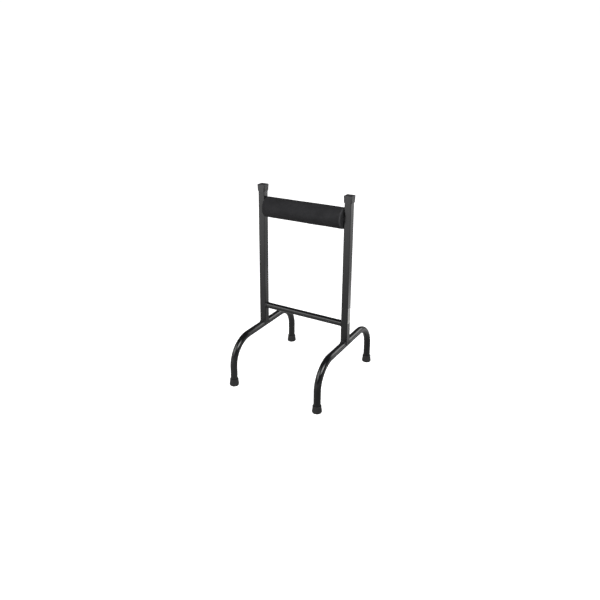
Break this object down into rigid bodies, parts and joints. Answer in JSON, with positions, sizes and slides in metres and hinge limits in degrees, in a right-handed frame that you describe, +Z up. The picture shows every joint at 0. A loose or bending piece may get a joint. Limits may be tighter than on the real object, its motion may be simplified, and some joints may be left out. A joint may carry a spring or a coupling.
{
  "type": "saxophone stand",
  "caption": "Free-standing welded steel tube stand for a saxophone, with bent front-to-back legs, square uprights, a bare crossbar and a foam-covered rest bar.",
  "frame": {"origin": "on the floor, under the middle of the stand", "axes": "+Z up, +X along the crossbars towards the upright with the label, +Y towards the rear feet"},
  "size_m": [0.3792, 0.4452, 0.712],
  "materials": {
    "black_paint": "gloss",
    "weld_paint": "gloss",
    "black_rubber": "satin",
    "black_foam": "matte",
    "zinc_steel": "satin",
    "silver_label": "satin"
  },
  "bodies": {
    "frame": {"left_leg_tube": "black_paint", "right_leg_tube": "black_paint", "left_upright": "black_paint", "right_upright": "black_paint", "lower_bar": "black_paint", "top_bar": "black_paint", "left_front_saddle_weld": "weld_paint", "left_rear_saddle_weld": "weld_paint", "right_front_saddle_weld": "weld_paint", "right_rear_saddle_weld": "weld_paint", "left_lower_bar_weld": "weld_paint", "right_lower_bar_weld": "weld_paint", "left_top_bar_weld": "weld_paint", "right_top_bar_weld": "weld_paint", "left_cap": "black_rubber", "right_cap": "black_rubber", "front_left_foot": "black_rubber", "front_right_foot": "black_rubber", "rear_left_foot": "black_rubber", "rear_right_foot": "black_rubber", "front_left_foot_washer": "zinc_steel", "front_right_foot_washer": "zinc_steel", "rear_left_foot_washer": "zinc_steel", "rear_right_foot_washer": "zinc_steel", "blank_label": "silver_label"},
    "sleeve": {"foam_sleeve": "black_foam"}
  },
  "joints": [
    {"name": "sleeve_turn", "type": "hinge", "parent": "frame", "child": "sleeve", "pos_m": [0, 0, 0.6305], "axis": [1, 0, 0], "continuous": true}
  ]
}
